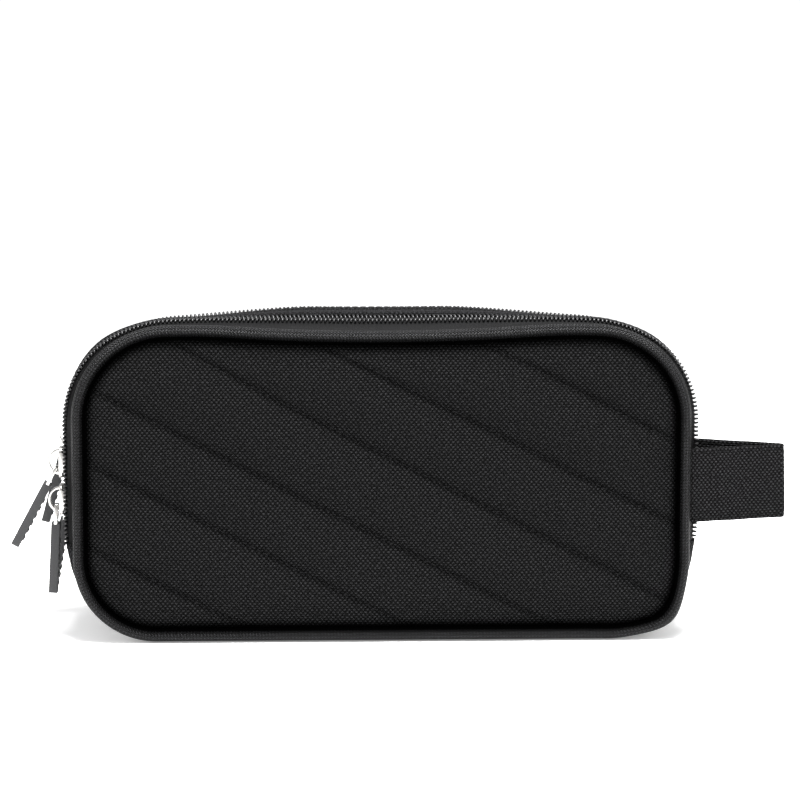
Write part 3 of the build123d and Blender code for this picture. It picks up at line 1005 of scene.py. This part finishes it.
def cloth_surface(name, points, columns, rows, material, flat):
    """A sheet of cloth through a grid of points, row by row, given the cloth's thickness."""
    faces, uvs = [], []
    for j in range(rows):
        for i in range(columns):
            a = j * (columns + 1) + i
            faces.append((a, a + 1, a + columns + 2, a + columns + 1))
            corners = ((i, j), (i + 1, j), (i + 1, j + 1), (i, j + 1))
            uvs.append([(flat[0] * u / columns, flat[1] * v / rows) for u, v in corners])
    piece = new_piece(name, points, faces, material, uvs, closed=False)
    body_of_cloth = piece.modifiers.new("thickness", "SOLIDIFY")
    body_of_cloth.thickness = pocket_cloth_thick * mm
    body_of_cloth.offset = 0.0
    bake_modifiers(piece)
    return piece


def bound_line(name, line, radius, material):
    """A round binding along a line of points in mm."""
    curve = bpy.data.curves.new(name, "CURVE")
    curve.dimensions = "3D"
    curve.bevel_depth = radius * mm
    curve.bevel_resolution = 2
    curve.use_fill_caps = True
    spline = curve.splines.new("POLY")
    spline.points.add(len(line) - 1)
    for spot, point in zip(spline.points, line):
        spot.co = (*[c * mm for c in point], 1)
    drawn = add_object(name, curve)
    bpy.context.view_layer.update()
    mesh = bpy.data.meshes.new_from_object(drawn.evaluated_get(bpy.context.evaluated_depsgraph_get()))
    bpy.data.objects.remove(drawn)
    mesh.materials.clear()
    mesh.materials.append(material)
    mesh.shade_smooth()
    return add_object(name, mesh)


def pocket_point(u, v, left, right, high, wall, bulge):
    """A point of a pocket's cloth: closed at its foot, fullest at two thirds, drawn in by its binding."""
    full = (1 - abs(2 * u - 1) ** 3) * (0.12 + 0.88 * sin(min(1.0, v * 1.35) * pi / 2))
    full *= 1 - 0.12 * smooth_step(v, 0.8, 1.0)
    top = high - pocket_dip * sin(pi * u)
    return left + (right - left) * u, wall + bulge * full, pocket_foot + (top - pocket_foot) * v


for name, node, left, right, high, wall, bulge, material, slot_name in (
    ("front_left_pocket", "front_pocket_left", -90.0, -1.0, 62.0, -32.4, 8.0, rib_knit, "mesh_cloth"),
    ("front_right_pocket", "front_pocket_right", 1.0, 90.0, 62.0, -32.4, 8.0, rib_knit, "mesh_cloth"),
    ("back_left_slip_pocket", "back_slip_pocket", -90.0, -1.0, 66.0, 32.4, -7.0, taffeta_strip, "lining"),
    ("back_right_slip_pocket", "back_slip_pocket", 1.0, 90.0, 66.0, 32.4, -7.0, taffeta_strip, "lining"),
):
    wide, tall = right - left, high - pocket_foot
    points = [
        pocket_point(i / pocket_columns, j / pocket_rows, left, right, high, wall, bulge)
        for j in range(pocket_rows + 1)
        for i in range(pocket_columns + 1)
    ]
    cloth = cloth_surface(name, points, pocket_columns, pocket_rows, material, (wide, tall))
    hem = bound_line(f"{name}_binding", points[-pocket_columns - 1 :], binding_radius, bound_edge)
    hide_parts(node)
    for piece in (cloth, hem):
        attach(piece, "pouch")

loop_cells = ((-78.0, -28.0), (-24.0, 24.0), (28.0, 78.0))
elastic_low, elastic_high, elastic_wall, elastic_bulge = 32.0, 68.0, -1.75, 9.0
elastic_half = 80.0
elastic_flat = (200.0, 36.0)
elastic_columns, elastic_rows = 120, 8


def elastic_point(u, v):
    """A point of the elastic band: flat where it is sewn down, and standing off in three loops."""
    x = elastic_half * (2 * u - 1)
    stand = 0.0
    for left, right in loop_cells:
        if left < x < right:
            stand = (1 - abs(2 * (x - left) / (right - left) - 1) ** 3) * elastic_bulge
    stand *= 1 - 0.1 * abs(2 * v - 1)
    return x, elastic_wall - stand, elastic_low + (elastic_high - elastic_low) * v


points = [
    elastic_point(i / elastic_columns, j / elastic_rows)
    for j in range(elastic_rows + 1)
    for i in range(elastic_columns + 1)
]
elastic = cloth_surface("elastic_band", points, elastic_columns, elastic_rows, woven_elastic, elastic_flat)
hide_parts("elastic_loops")
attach(elastic, "pouch")
tacks = [
    [((x, elastic_wall - 0.4, elastic_low + 1 + k), (0, -1, 0)) for k in range(35)]
    for x in (-79.0, -26.0, 26.0, 79.0)
]
tack_thread = new_row("elastic_stitching", tacks, stitch, stitch_pitch, polyester_thread)
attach(tack_thread, "pouch")
bpy.data.objects.remove(stitch)
